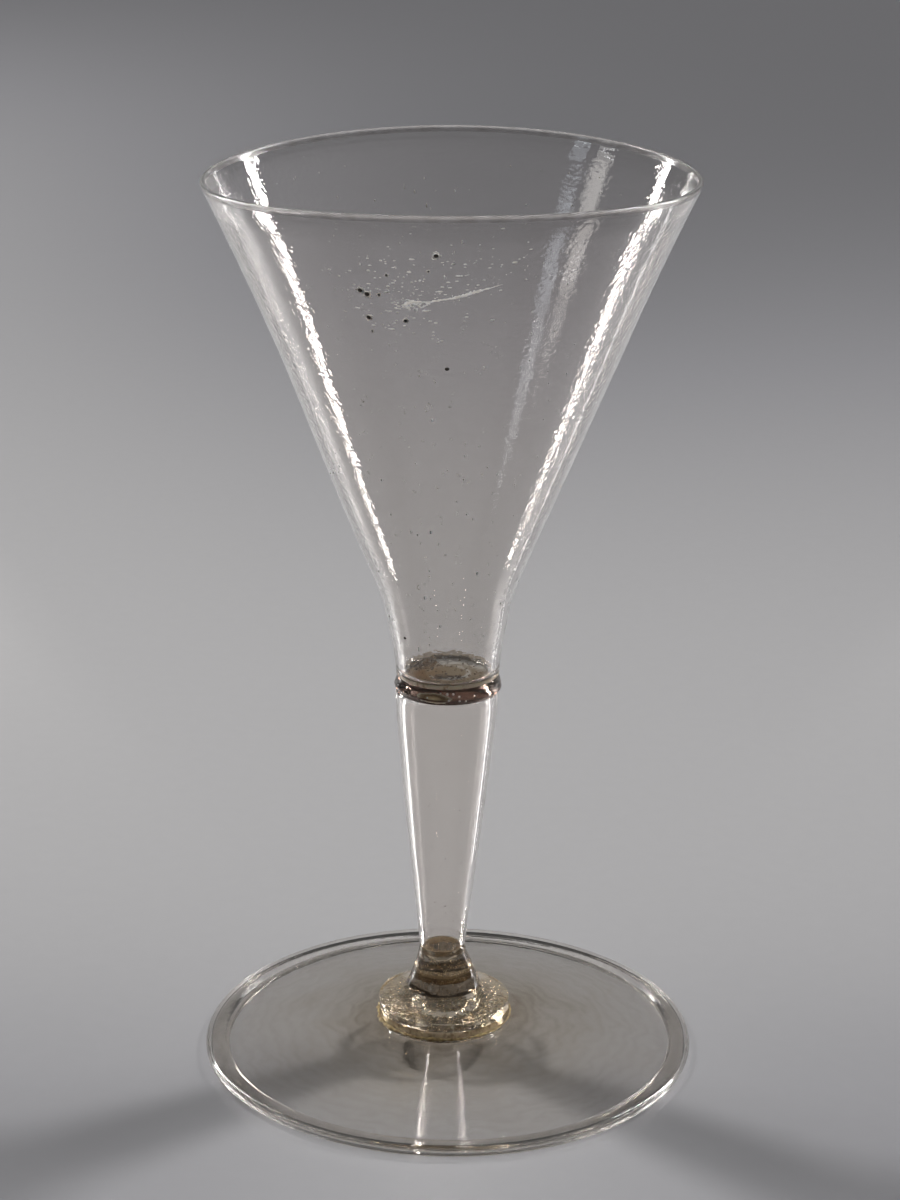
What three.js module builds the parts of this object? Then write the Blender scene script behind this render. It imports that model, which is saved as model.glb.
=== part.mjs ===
// A free-blown stemmed drinking glass: seven gathers of clear glass fused one on another.
// Units are millimetres, +Z is up, and the glass stands on the plane z = 0 with its axis on Z.
// Every gather is a surface of revolution. Neighbours meet on flat faces at one shared height.

import * as THREE from 'three';

// Foot: a thin, gently conical sheet whose edge is turned under and lies double.
const FOOT_RADIUS = 47.2;
const FOOT_SHEET = 0.8;
const FOOT_FOLD_WIDTH = 4.1;
const FOOT_SEAM_GAP = 0.35;
const FOOT_FOLD_LIP_ROUND = 0.35;
const FOOT_CENTRE_HEIGHT = 6.8;
const FOOT_CENTRE_THICKNESS = 1.5;
const FOOT_CROWN = 0.9;

// Scar ring under the foot, where the working rod was broken off.
const SCAR_OUTER_RADIUS = 5.6;
const SCAR_INNER_RADIUS = 3.1;
const SCAR_DEPTH = 1.4;

// Solid disc between the foot and the capstan.
const DISC_RADIUS = 12.75;
const DISC_EDGE_HEIGHT = 3.8;
const DISC_EDGE_ROUND = 0.8;
const DISC_HEIGHT = 5.7;

// Solid flared capstan, bell-shaped, under the stem.
const BELL_RADIUS = 6.7;
const BELL_EDGE_ROUND = 0.55;
const BELL_FOOT_RADIUS = 6.0;
const BELL_FOOT_HEIGHT = 1.4;
const CAPSTAN_HEIGHT = 8.6;

// Hollow stem, a tube that widens upwards, with a rounded end to its bore in the capstan.
const STEM_BOTTOM_RADIUS = 4.5;
const STEM_BOTTOM_WALL = 0.9;
const STEM_TOP_RADIUS = 9.65;
const STEM_TOP_WALL = 1.65;
const STEM_LENGTH = 52.8;
const STEM_BORE_END_DEPTH = 3.2;

// Solid collar between the stem and the bowl.
const COLLAR_BULGE = 0.3;
const COLLAR_HEIGHT = 3.1;

// Bowl: a short, nearly straight base, a knee, then a straight funnel up to a fire-polished rim.
const BOWL_HEIGHT = 95.5;
const BOWL_BASE_RADIUS = 9.75;
const BOWL_BASE_WALL = 1.45;
const BOWL_FLOOR_THICKNESS = 1.1;
const BOWL_FLOOR_ROUND = 1.6;
const BOWL_KNEE_HEIGHT = 15.5;
const BOWL_KNEE_RADIUS = 12.0;
const BOWL_KNEE_BLEND = 5.0;
const BOWL_RIM_RADIUS = 43.6;
const BOWL_RIM_WALL = 0.85;
const RIM_BEAD_SWELL = 0.08;

// Small round at the outer edge of every fused joint, which leaves a fine crevice.
const JOINT_ROUND = 0.3;

// Fineness of the surfaces.
const WIDE_SIDES = 64;
const NARROW_SIDES = 48;
const QUARTER_STEPS = 3;
const CURVE_STEPS = 5;

// Heights of the joints, each worked out from the gather below it.
const FOOT_TOP = FOOT_CENTRE_HEIGHT;
const DISC_TOP = FOOT_TOP + DISC_HEIGHT;
const CAPSTAN_TOP = DISC_TOP + CAPSTAN_HEIGHT;
const STEM_TOP = CAPSTAN_TOP + STEM_LENGTH;
const COLLAR_TOP = STEM_TOP + COLLAR_HEIGHT;

function point(radius, height) {
  return new THREE.Vector2(radius, height);
}

// Points of an arc about a centre, from one angle to another in degrees, both ends included.
function arc(centreRadius, centreHeight, radius, fromDegrees, toDegrees, steps) {
  const points = [];
  for (let i = 0; i <= steps; i += 1) {
    const angle = THREE.MathUtils.degToRad(fromDegrees + ((toDegrees - fromDegrees) * i) / steps);
    points.push(point(centreRadius + radius * Math.cos(angle), centreHeight + radius * Math.sin(angle)));
  }
  return points;
}

// Points of a curve that leaves one point towards a bend point and arrives at a third.
function bend(start, corner, end, steps) {
  return new THREE.QuadraticBezierCurve(start, corner, end).getPoints(steps);
}

function mix(start, end, share) {
  return point(start.x + (end.x - start.x) * share, start.y + (end.y - start.y) * share);
}

// One gather: a profile of (radius, height) points, turned about the Z axis.
function gather(name, profile, sides, material) {
  const geometry = new THREE.LatheGeometry(profile, sides);
  geometry.rotateX(Math.PI / 2);
  const mesh = new THREE.Mesh(geometry, material);
  mesh.name = name;
  return mesh;
}

// Clear glass with a faint warm grey cast, stronger where the glass is solid.
function clearGlass(color, opacity) {
  const finish = { roughness: 0.04, metalness: 0, transparent: true };
  return new THREE.MeshStandardMaterial({ color, opacity, ...finish });
}

// The conical sheet with its edge folded under. A narrow seam stays open inwards over the fold,
// and the underside of the fold is the flat ring that the glass stands on.
function foot() {
  const rimThickness = 2 * FOOT_SHEET + FOOT_SEAM_GAP;
  const edgeRound = rimThickness / 2;
  const straightRadius = FOOT_RADIUS - edgeRound;
  const foldInner = FOOT_RADIUS - FOOT_FOLD_WIDTH;
  const seamEnd = straightRadius;
  const seamTop = FOOT_SHEET + FOOT_SEAM_GAP;
  const lipRound = point(foldInner + FOOT_FOLD_LIP_ROUND, FOOT_FOLD_LIP_ROUND);
  const centreUnder = FOOT_CENTRE_HEIGHT - FOOT_CENTRE_THICKNESS;
  const crownRadius = (DISC_RADIUS + foldInner) / 2;
  const crownHeight = (FOOT_CENTRE_HEIGHT + rimThickness) / 2 - FOOT_CROWN;
  const underSlope = bend(
    point(DISC_RADIUS, centreUnder),
    point(crownRadius, crownHeight - FOOT_SHEET),
    point(foldInner, seamTop),
    CURVE_STEPS,
  );
  const topSlope = bend(
    point(foldInner, rimThickness),
    point(crownRadius, crownHeight),
    point(DISC_RADIUS, FOOT_CENTRE_HEIGHT),
    CURVE_STEPS,
  );
  const profile = [
    point(0, centreUnder),
    ...underSlope,
    point(seamEnd, seamTop),
    point(seamEnd, FOOT_SHEET),
    point(lipRound.x, FOOT_SHEET),
    ...arc(lipRound.x, lipRound.y, FOOT_FOLD_LIP_ROUND, 180, 270, QUARTER_STEPS),
    ...arc(straightRadius, edgeRound, edgeRound, -90, 90, 2 * QUARTER_STEPS),
    ...topSlope,
    point(0, FOOT_CENTRE_HEIGHT),
  ];
  return gather('foot', profile, WIDE_SIDES, clearGlass(0xd9d7d2, 0.3));
}

// The broken ring of glass that hangs under the middle of the foot, clear of the table.
function pontilScar() {
  const top = FOOT_CENTRE_HEIGHT - FOOT_CENTRE_THICKNESS;
  const middle = (SCAR_OUTER_RADIUS + SCAR_INNER_RADIUS) / 2;
  const profile = [
    point(SCAR_INNER_RADIUS, top),
    ...bend(
      point(SCAR_INNER_RADIUS, top - SCAR_DEPTH / 2),
      point(SCAR_INNER_RADIUS, top - SCAR_DEPTH),
      point(middle, top - SCAR_DEPTH),
      QUARTER_STEPS,
    ),
    ...bend(
      point(middle, top - SCAR_DEPTH),
      point(SCAR_OUTER_RADIUS, top - SCAR_DEPTH),
      point(SCAR_OUTER_RADIUS, top),
      QUARTER_STEPS,
    ).slice(1),
    point(SCAR_INNER_RADIUS, top),
  ];
  return gather('pontil_scar', profile, NARROW_SIDES, clearGlass(0xcfcbc2, 0.5));
}

// A solid disc with a rounded edge and a low conical top that ends in the seat of the capstan.
function footDisc() {
  const edgeTop = FOOT_TOP + DISC_EDGE_HEIGHT;
  const topSlope = Math.atan2(DISC_TOP - edgeTop, DISC_RADIUS - BELL_FOOT_RADIUS);
  const edgeSweep = 90 - THREE.MathUtils.radToDeg(topSlope);
  const edgeCentre = point(DISC_RADIUS - DISC_EDGE_ROUND, edgeTop - DISC_EDGE_ROUND);
  const profile = [
    point(0, FOOT_TOP),
    ...arc(DISC_RADIUS - JOINT_ROUND, FOOT_TOP + JOINT_ROUND, JOINT_ROUND, -90, 0, QUARTER_STEPS),
    ...arc(edgeCentre.x, edgeCentre.y, DISC_EDGE_ROUND, 0, edgeSweep, QUARTER_STEPS),
    point(BELL_FOOT_RADIUS, DISC_TOP),
    point(0, DISC_TOP),
  ];
  return gather('foot_disc', profile, NARROW_SIDES, clearGlass(0xc9bd9f, 0.5));
}

// A solid bell: a short foot, a rounded lip, then a flare drawn in to the stem's lower end.
// A round-bottomed pocket in its top is the closed end of the stem's bore.
function capstan() {
  const lipHeight = DISC_TOP + BELL_FOOT_HEIGHT + BELL_EDGE_ROUND;
  const lipCentre = BELL_RADIUS - BELL_EDGE_ROUND;
  const boreRadius = STEM_BOTTOM_RADIUS - STEM_BOTTOM_WALL;
  const neck = point(STEM_BOTTOM_RADIUS, CAPSTAN_TOP - JOINT_ROUND);
  const lipTop = point(BELL_RADIUS, lipHeight);
  const flareCorner = point(STEM_BOTTOM_RADIUS, (lipHeight + CAPSTAN_TOP) / 2);
  const pocket = [];
  for (let i = 0; i <= CURVE_STEPS; i += 1) {
    const angle = (Math.PI / 2) * (i / CURVE_STEPS);
    pocket.push(point(boreRadius * Math.cos(angle), CAPSTAN_TOP - STEM_BORE_END_DEPTH * Math.sin(angle)));
  }
  pocket[CURVE_STEPS].x = 0;
  const profile = [
    point(0, DISC_TOP),
    ...arc(BELL_FOOT_RADIUS - JOINT_ROUND, DISC_TOP + JOINT_ROUND, JOINT_ROUND, -90, 0, QUARTER_STEPS),
    ...arc(lipCentre, lipHeight, BELL_EDGE_ROUND, -90, 0, QUARTER_STEPS),
    ...bend(lipTop, flareCorner, neck, CURVE_STEPS).slice(1),
    point(STEM_BOTTOM_RADIUS - JOINT_ROUND, CAPSTAN_TOP),
    ...pocket,
  ];
  return gather('capstan', profile, NARROW_SIDES, clearGlass(0xc2b491, 0.5));
}

// A blown tube, open at both ends in itself and closed by the capstan and the collar.
function stem() {
  const profile = [
    point(STEM_BOTTOM_RADIUS - STEM_BOTTOM_WALL, CAPSTAN_TOP),
    point(STEM_BOTTOM_RADIUS - JOINT_ROUND, CAPSTAN_TOP),
    point(STEM_BOTTOM_RADIUS, CAPSTAN_TOP + JOINT_ROUND),
    point(STEM_TOP_RADIUS, STEM_TOP - JOINT_ROUND),
    point(STEM_TOP_RADIUS - JOINT_ROUND, STEM_TOP),
    point(STEM_TOP_RADIUS - STEM_TOP_WALL, STEM_TOP),
    point(STEM_BOTTOM_RADIUS - STEM_BOTTOM_WALL, CAPSTAN_TOP),
  ];
  return gather('stem', profile, NARROW_SIDES, clearGlass(0xdad8d4, 0.3));
}

// A solid button of glass whose side swells a little past the stem below and the bowl above.
// The side is a bend whose corner lies twice as far out as the bulge itself.
function collar() {
  const swell = Math.max(STEM_TOP_RADIUS, BOWL_BASE_RADIUS) + 2 * COLLAR_BULGE;
  const profile = [
    point(0, STEM_TOP),
    point(STEM_TOP_RADIUS - JOINT_ROUND, STEM_TOP),
    ...bend(
      point(STEM_TOP_RADIUS, STEM_TOP + JOINT_ROUND),
      point(swell, (STEM_TOP + COLLAR_TOP) / 2),
      point(BOWL_BASE_RADIUS, COLLAR_TOP - JOINT_ROUND),
      CURVE_STEPS,
    ),
    point(BOWL_BASE_RADIUS - JOINT_ROUND, COLLAR_TOP),
    point(0, COLLAR_TOP),
  ];
  return gather('bowl_collar', profile, NARROW_SIDES, clearGlass(0x8f8a82, 0.6));
}

// The funnel. The outer face and the inner face each run base, knee, rim, and the wall thins
// evenly from the base to the rim, where a half-round bead joins the two faces.
function bowl() {
  const halfRimWall = BOWL_RIM_WALL / 2;
  const beadRadius = halfRimWall + RIM_BEAD_SWELL;
  const beadHeight = COLLAR_TOP + BOWL_HEIGHT - beadRadius;
  const beadStart = -THREE.MathUtils.radToDeg(Math.acos(halfRimWall / beadRadius));
  const wallTop = beadHeight - Math.sqrt(beadRadius ** 2 - halfRimWall ** 2);
  const kneeHeight = COLLAR_TOP + BOWL_KNEE_HEIGHT;
  const floorTop = COLLAR_TOP + BOWL_FLOOR_THICKNESS;
  const kneeShare = BOWL_KNEE_HEIGHT / (wallTop - COLLAR_TOP);
  const kneeWall = BOWL_BASE_WALL + (BOWL_RIM_WALL - BOWL_BASE_WALL) * kneeShare;

  const base = point(BOWL_BASE_RADIUS, COLLAR_TOP + JOINT_ROUND);
  const knee = point(BOWL_KNEE_RADIUS, kneeHeight);
  const rim = point(BOWL_RIM_RADIUS + halfRimWall, wallTop);
  const innerRim = point(BOWL_RIM_RADIUS - halfRimWall, wallTop);
  const innerKnee = point(BOWL_KNEE_RADIUS - kneeWall, kneeHeight);
  const innerBase = point(BOWL_BASE_RADIUS - BOWL_BASE_WALL, floorTop + BOWL_FLOOR_ROUND);
  const floorRound = point(innerBase.x - BOWL_FLOOR_ROUND, floorTop);

  const lowerShare = BOWL_KNEE_BLEND / base.distanceTo(knee);
  const upperShare = BOWL_KNEE_BLEND / knee.distanceTo(rim);
  const profile = [
    point(0, COLLAR_TOP),
    point(BOWL_BASE_RADIUS - JOINT_ROUND, COLLAR_TOP),
    base,
    ...bend(mix(knee, base, lowerShare), knee, mix(knee, rim, upperShare), CURVE_STEPS),
    ...arc(BOWL_RIM_RADIUS, beadHeight, beadRadius, beadStart, 180 - beadStart, 2 * QUARTER_STEPS),
    ...bend(mix(innerKnee, innerRim, upperShare), innerKnee, mix(innerKnee, innerBase, lowerShare), CURVE_STEPS),
    ...bend(innerBase, point(innerBase.x, floorTop), floorRound, QUARTER_STEPS),
    point(0, floorTop),
  ];
  return gather('bowl', profile, WIDE_SIDES, clearGlass(0xdedcd9, 0.25));
}

const glass = new THREE.Group();
glass.add(foot());
glass.add(pontilScar());
glass.add(footDisc());
glass.add(capstan());
glass.add(stem());
glass.add(collar());
glass.add(bowl());

export default glass;
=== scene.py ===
import math

import bpy
import numpy as np
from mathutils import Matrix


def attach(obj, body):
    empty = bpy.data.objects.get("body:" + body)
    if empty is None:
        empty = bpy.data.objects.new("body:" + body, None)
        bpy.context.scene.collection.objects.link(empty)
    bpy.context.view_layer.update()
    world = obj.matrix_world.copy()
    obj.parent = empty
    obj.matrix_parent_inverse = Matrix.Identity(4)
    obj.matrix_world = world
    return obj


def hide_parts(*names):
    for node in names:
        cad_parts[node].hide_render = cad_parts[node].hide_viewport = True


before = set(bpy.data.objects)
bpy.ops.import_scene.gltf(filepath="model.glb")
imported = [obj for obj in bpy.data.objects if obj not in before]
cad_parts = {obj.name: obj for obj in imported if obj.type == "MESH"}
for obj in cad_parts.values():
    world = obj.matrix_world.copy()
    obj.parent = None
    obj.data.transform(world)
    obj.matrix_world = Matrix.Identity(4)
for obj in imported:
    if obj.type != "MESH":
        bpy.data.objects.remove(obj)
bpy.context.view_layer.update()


# The viewpoint: a long lens half a metre in front of the glass, above the height of its rim and
# tipped down towards the stem.
def shown(name, data):
    """A new object of the scene that shows the data."""
    thing = bpy.data.objects.new(name, data)
    bpy.context.scene.collection.objects.link(thing)
    return thing


lens = bpy.data.cameras.new("viewpoint")
lens.sensor_fit = "AUTO"
lens.sensor_width = 36.0
lens.lens = 89.19
lens.clip_start = 0.02
lens.clip_end = 60.0
viewpoint = shown("viewpoint", lens)
viewpoint.location = (0.0, -0.525, 0.2695)
viewpoint.rotation_euler = (math.radians(71.26), 0.0, 0.0)
bpy.context.scene.camera = viewpoint
bpy.context.scene.view_settings.view_transform = "Standard"
tracing = bpy.context.scene.cycles
tracing.max_bounces = 160
tracing.transmission_bounces = 64
tracing.glossy_bounces = 128
tracing.diffuse_bounces = 2
tracing.transparent_max_bounces = 32
tracing.caustics_refractive = False
tracing.caustics_reflective = False
tracing.sample_clamp_indirect = 40.0


# The table: a sheet of pale grey paper with a slight sheen, lightest round the glass and darker
# far away, as the studio light falls off. Its fibres show as a very faint mottle.
def band_faces(rows, around, first):
    """Quads that join closed rows of points, each row to the next. The rows are numbered on from
    the first point."""
    here = np.arange(around)
    there = (here + 1) % around
    row = first + np.arange(rows - 1)[:, None] * around
    after = row + around
    return np.stack([row + here, after + here, after + there, row + there], axis=-1).reshape(-1, 4)


def fan_faces(around, middle, first):
    """Triangles that join a middle point to the row of points that starts at the first."""
    here = np.arange(around)
    return np.stack([np.full(around, middle), first + here, first + (here + 1) % around], axis=1)


def turns(count):
    """The given number of even turns round a circle, in radians."""
    return np.linspace(0.0, 2.0 * np.pi, count, endpoint=False)


def meshed(name, points, faces, smooth=True):
    """A mesh of points in metres, shaded smooth or flat."""
    mesh = bpy.data.meshes.new(name)
    mesh.from_pydata(np.asarray(points).tolist(), [], faces)
    if smooth:
        mesh.shade_smooth()
    return mesh


def disc_sheet(name, points, rings, spokes, field_name, values):
    """A sheet over a disc, in metres. Its first point is the middle and the others lie in rings,
    from the inmost outwards. The values are kept at the points under the field's name."""
    faces = fan_faces(spokes, 0, 1).tolist() + band_faces(rings, spokes, 1).tolist()
    mesh = meshed(name, points, faces)
    mesh.attributes.new(field_name, "FLOAT", "POINT").data.foreach_set("value", values.astype(np.float32))
    return mesh


def hump(x, y, middle_x, middle_y, wide, deep):
    """A smooth hump of height 1: exp(-((x - middle_x) / wide)^2 - ((y - middle_y) / deep)^2)."""
    return np.exp(-(((x - middle_x) / wide) ** 2) - ((y - middle_y) / deep) ** 2)


def paper_disc(radius, rings, spokes):
    """A flat disc: the point (u, v) is at radius * u^2 from the middle and at the angle v, so the
    rings lie closer near the glass. Its light field is painted light and shade: a constant, a hump
    behind the glass and one at the back left, less a trough of painted shade on each side in front
    and one behind, two painted shadows under the foot and a painted pool of light between them,
    and a fan of painted light on each side behind that falls off as exp(-angle^6)."""
    u = np.linspace(0.0, 1.0, rings + 1)[1:, None]
    v = turns(spokes)[None, :]
    ring_x = radius * u**2 * np.cos(v)
    ring_y = radius * u**2 * np.sin(v)
    x = np.concatenate([[0.0], ring_x.ravel()])
    y = np.concatenate([[0.0], ring_y.ravel()])
    light = 0.162 + 0.280 * hump(x, y, 0.0, 0.17, 0.9, 0.44) + 0.27 * hump(x, y, -0.42, 0.8, 0.33, 0.60)
    light -= 0.070 * np.exp(-(((y + 0.03) / 0.06) ** 2)) * (1.0 - np.exp(-((x / 0.045) ** 2)))
    light -= 0.050 * hump(x, y, 0.0, 0.66, 0.115, 0.36)
    # Painted shadows under the foot, where the shadows of the stem and the capstan fall, and a painted pool
    # of light between them.
    light -= 0.060 * hump(x, y, -0.031, -0.011, 0.013, 0.010)
    light -= 0.045 * hump(x, y, 0.030, -0.018, 0.007, 0.008)
    light += 0.055 * hump(x, y, -0.008, -0.018, 0.009, 0.009)
    away = 1.0 - np.exp(-((x**2 + y**2) ** 2) / 0.42**4)
    turn = np.degrees(np.arctan2(y, x))
    light += 0.28 * away * np.exp(-(((turn - 51.0) / 12.0) ** 6))
    light += 0.42 * away * np.exp(-(((turn - 127.0) / 11.5) ** 6))
    points = np.stack([x, y, np.full_like(x, -3.0e-5)], axis=1)
    return disc_sheet("table_paper", points, rings, spokes, "light", light)


def material(name):
    """A new material and its node tree."""
    stuff = bpy.data.materials.new(name)
    stuff.use_nodes = True
    return stuff, stuff.node_tree


def wire(tree, node, **inputs):
    """Gives a shader node its inputs by name, with _ for a space: a value is set on the node's own
    socket, and another node's output is linked to it."""
    for name, value in inputs.items():
        socket = node.inputs[name.replace("_", " ")]
        if isinstance(value, bpy.types.NodeSocket):
            tree.links.new(value, socket)
        else:
            socket.default_value = value
    return node


def body(tree, **inputs):
    """Gives the main shader its inputs."""
    return wire(tree, tree.nodes["Principled BSDF"], **inputs)


def put(tree, kind, output, **inputs):
    """The named output of a new shader node of a kind with the given inputs."""
    return wire(tree, tree.nodes.new("ShaderNode" + kind), **inputs).outputs[output]


def own(tree, stretch, shift=(0.0, 0.0, 0.0)):
    """The object's own coordinates, each multiplied by the stretch, and then shifted."""
    place = put(tree, "TexCoord", "Object")
    return put(tree, "Mapping", "Vector", Vector=place, Scale=stretch, Location=shift)


def noise(tree, scale, detail, stretch=(1.0, 1.0, 1.0), shift=(0.0, 0.0, 0.0), roughness=0.5):
    """Noise at the object's own coordinates, stretched and shifted."""
    return put(tree, "TexNoise", "Fac", Vector=own(tree, stretch, shift), Scale=scale, Detail=detail,
               Roughness=roughness)


def field(tree, name):
    """The values that a mesh keeps at its points under a name."""
    node = tree.nodes.new("ShaderNodeAttribute")
    node.attribute_name = name
    return node.outputs["Fac"]


def ramp(tree, factor, *stops):
    """The colour at a factor on a ramp with the given (position, colour) stops."""
    node = wire(tree, tree.nodes.new("ShaderNodeValToRGB"), Fac=factor)
    marks = node.color_ramp.elements
    while len(marks) < len(stops):
        marks.new(0.5)
    for mark, (position, colour) in zip(marks, stops):
        mark.position = position
        mark.color = (*colour, 1.0)
    return node.outputs["Color"]


def product(tree, first, second, share=1.0):
    """The first colour multiplied by the second, to the given share."""
    node = tree.nodes.new("ShaderNodeMix")
    node.data_type = "RGBA"
    node.blend_type = "MULTIPLY"
    return wire(tree, node, Factor=share, A=first, B=second).outputs["Result"]


paper, tree = material("table_paper")
# The paper's colour follows its painted light field.
shades = ramp(tree, field(tree, "light"), (0.0, (0.0, 0.0, 0.0)), (0.15, (0.148, 0.147, 0.157)),
              (0.30, (0.298, 0.296, 0.314)), (0.45, (0.452, 0.448, 0.456)), (1.0, (0.99, 0.97, 0.95)))
mottle = put(tree, "MapRange", "Result", Value=noise(tree, 260.0, 4.0), To_Min=0.975, To_Max=1.025)
body(tree, Base_Color=product(tree, shades, mottle), Roughness=0.32)
table_paper = shown("table_paper", paper_disc(12.0, 299, 160))
table_paper.data.materials.append(paper)


# The light: a soft lamp and a weaker, wider one stand behind the glass on each side, halfway up
# the sky. They light the table and throw its two faint shadows forward. Upright strips and two
# windows beside the glass show only as reflections in it.
def far_lamp(name, azimuth, strength, spread):
    """A distant lamp that lights the table. The azimuth is measured from +X towards +Y."""
    data = bpy.data.lights.new(name, "SUN")
    data.energy = strength
    data.angle = math.radians(spread)
    data.color = (1.0, 0.993, 0.985)
    lamp = shown(name, data)
    lamp.rotation_euler = (math.radians(45.0), 0.0, math.radians(azimuth + 90.0))
    lamp.visible_glossy = False
    lamp.visible_transmission = False


def either(tree, factor, first, second):
    """The first shader where the factor is 0, and the second where it is 1."""
    node = wire(tree, tree.nodes.new("ShaderNodeMixShader"), Fac=factor)
    tree.links.new(first, node.inputs[1])
    tree.links.new(second, node.inputs[2])
    return node.outputs["Shader"]


def glowing(name, corners, face, radiance, colour, one_sided):
    """A glowing board that the camera, the paper and the shadows don't see."""
    mesh = meshed(name, corners, [face], False)
    glow, tree = material(name)
    tree.nodes.clear()
    lit = put(tree, "Emission", "Emission", Color=(*colour, 1.0), Strength=radiance)
    if one_sided:
        behind = put(tree, "NewGeometry", "Backfacing")
        lit = either(tree, behind, lit, put(tree, "BsdfTransparent", "BSDF"))
    wire(tree, tree.nodes.new("ShaderNodeOutputMaterial"), Surface=lit)
    mesh.materials.append(glow)
    board = shown(name, mesh)
    board.visible_camera = False
    board.visible_diffuse = False
    board.visible_shadow = False


def panel(name, azimuth, elevation, away, width, height, radiance, colour):
    """An upright glowing panel that faces the stem of the glass, at an azimuth like the lamps'."""
    turn = math.radians(azimuth)
    rise = math.radians(elevation)
    out = np.array([math.cos(turn) * math.cos(rise), math.sin(turn) * math.cos(rise), math.sin(rise)])
    side = np.array([-math.sin(turn), math.cos(turn), 0.0])
    up = np.cross(out, side)
    centre = out * away + np.array([0.0, 0.0, 0.10])
    corners = [tuple(centre + side * width / 2 * i + up * height / 2 * j)
               for i, j in ((-1, -1), (1, -1), (1, 1), (-1, 1))]
    glowing(name, corners, (0, 3, 2, 1), radiance, colour, False)


def light_pool(name, azimuth, spread, radiance, colour):
    """The foot of an upright strip, as the glass sees it: a wedge just over the table, from 75 mm
    to a metre away, that points at the stem and glows only upwards. Angles are in degrees."""
    first, last = math.radians(azimuth - spread / 2), math.radians(azimuth + spread / 2)
    corners = [(r * math.cos(a), r * math.sin(a), 2.0e-4) for r, a in
               ((0.075, first), (1.0, first), (1.0, last), (0.075, last))]
    glowing(name, corners, (0, 1, 2, 3), radiance, colour, True)


def grey(value):
    """A grey of the given linear value."""
    return (value, value, value)


far_lamp("lamp_right", 32.5, 1.80, 7.5)
far_lamp("lamp_right_wide", 22.0, 0.36, 10.0)
far_lamp("lamp_left", 139.0, 1.80, 7.5)
far_lamp("lamp_left_wide", 150.0, 0.36, 10.0)
panel("strip_right", 28.0, 25.0, 1.1, 0.07, 0.96, 52.0, (1.0, 0.98, 0.98))
panel("strip_left", 141.0, 25.0, 1.1, 0.06, 0.96, 52.0, (1.0, 0.98, 0.96))
panel("window_blue", 201.0, 27.9, 1.2, 0.16, 0.21, 2.2, (0.84, 0.91, 1.0))
panel("sill_blue", 201.0, 24.1, 1.161, 0.155, 0.016, 9.0, (0.90, 0.95, 1.0))
panel("window_beige", 185.5, 27.9, 1.2, 0.19, 0.21, 2.8, (1.0, 0.97, 0.93))
panel("sill_beige", 185.5, 24.1, 1.161, 0.185, 0.016, 9.0, (0.96, 0.97, 1.0))
light_pool("pool_right", 38.0, 1.3, 5.0, (1.0, 0.98, 0.98))
light_pool("pool_left", 137.5, 2.4, 1.6, (1.0, 0.98, 0.96))
world = bpy.data.worlds.new("studio")
world.use_nodes = True
tree = world.node_tree
upwards = put(tree, "SeparateXYZ", "Z", Vector=put(tree, "TexCoord", "Generated"))
sky = ramp(tree, upwards, (0.0, grey(0.140)), (0.12, grey(0.120)), (0.35, grey(0.050)), (1.0, grey(0.040)))
wire(tree, tree.nodes["Background"], Color=sky)
bpy.context.scene.world = world


# The foot: a thin sheet of clear glass opened out into a low cone, with its edge turned under so
# that it lies double. It was pulled a little out of round and stands higher at its left.
def line(start, end, count):
    """Points at even steps on the straight line from start to end, without the last one."""
    t = np.linspace(0.0, 1.0, count, endpoint=False)[:, None]
    return np.array(start) * (1.0 - t) + np.array(end) * t


def flat(height, start, end, count):
    """Points at even steps on a level line, without the last one."""
    return line((start, height), (end, height), count)


def bend(start, corner, end, count):
    """Points (1-t)^2 start + 2 t (1-t) corner + t^2 end for even steps of t, without the last."""
    t = np.linspace(0.0, 1.0, count, endpoint=False)[:, None]
    return np.array(start) * (1 - t) ** 2 + np.array(corner) * 2 * t * (1 - t) + np.array(end) * t**2


def arc(centre, radius, first, last, count):
    """Points centre + radius (cos a, sin a) for even steps of a in degrees, without the last."""
    a = np.radians(np.linspace(first, last, count, endpoint=False))
    return np.stack([centre[0] + radius * np.cos(a), centre[1] + radius * np.sin(a)], axis=1)


def lean(height):
    """How far the middle of the glass stands to the right at a height: it was joined by hand,
    so the capstan and the lower stem lie about a millimetre and a half to the left."""
    return np.interp(
        height,
        [0.0, 6.8, 10.0, 17.0, 21.0, 74.0, 76.0, 95.0, 105.0, 140.0, 172.0],
        [-0.5, -1.1, -1.26, -1.4, -1.5, -0.55, -0.4, -0.5, -0.5, 0.25, 0.26],
    )


def placed(radius, turn, height, middle):
    """The point at a radius, a turn and a height about an upright axis that stands at x = middle."""
    return radius * np.cos(turn) + middle, radius * np.sin(turn), height


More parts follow.
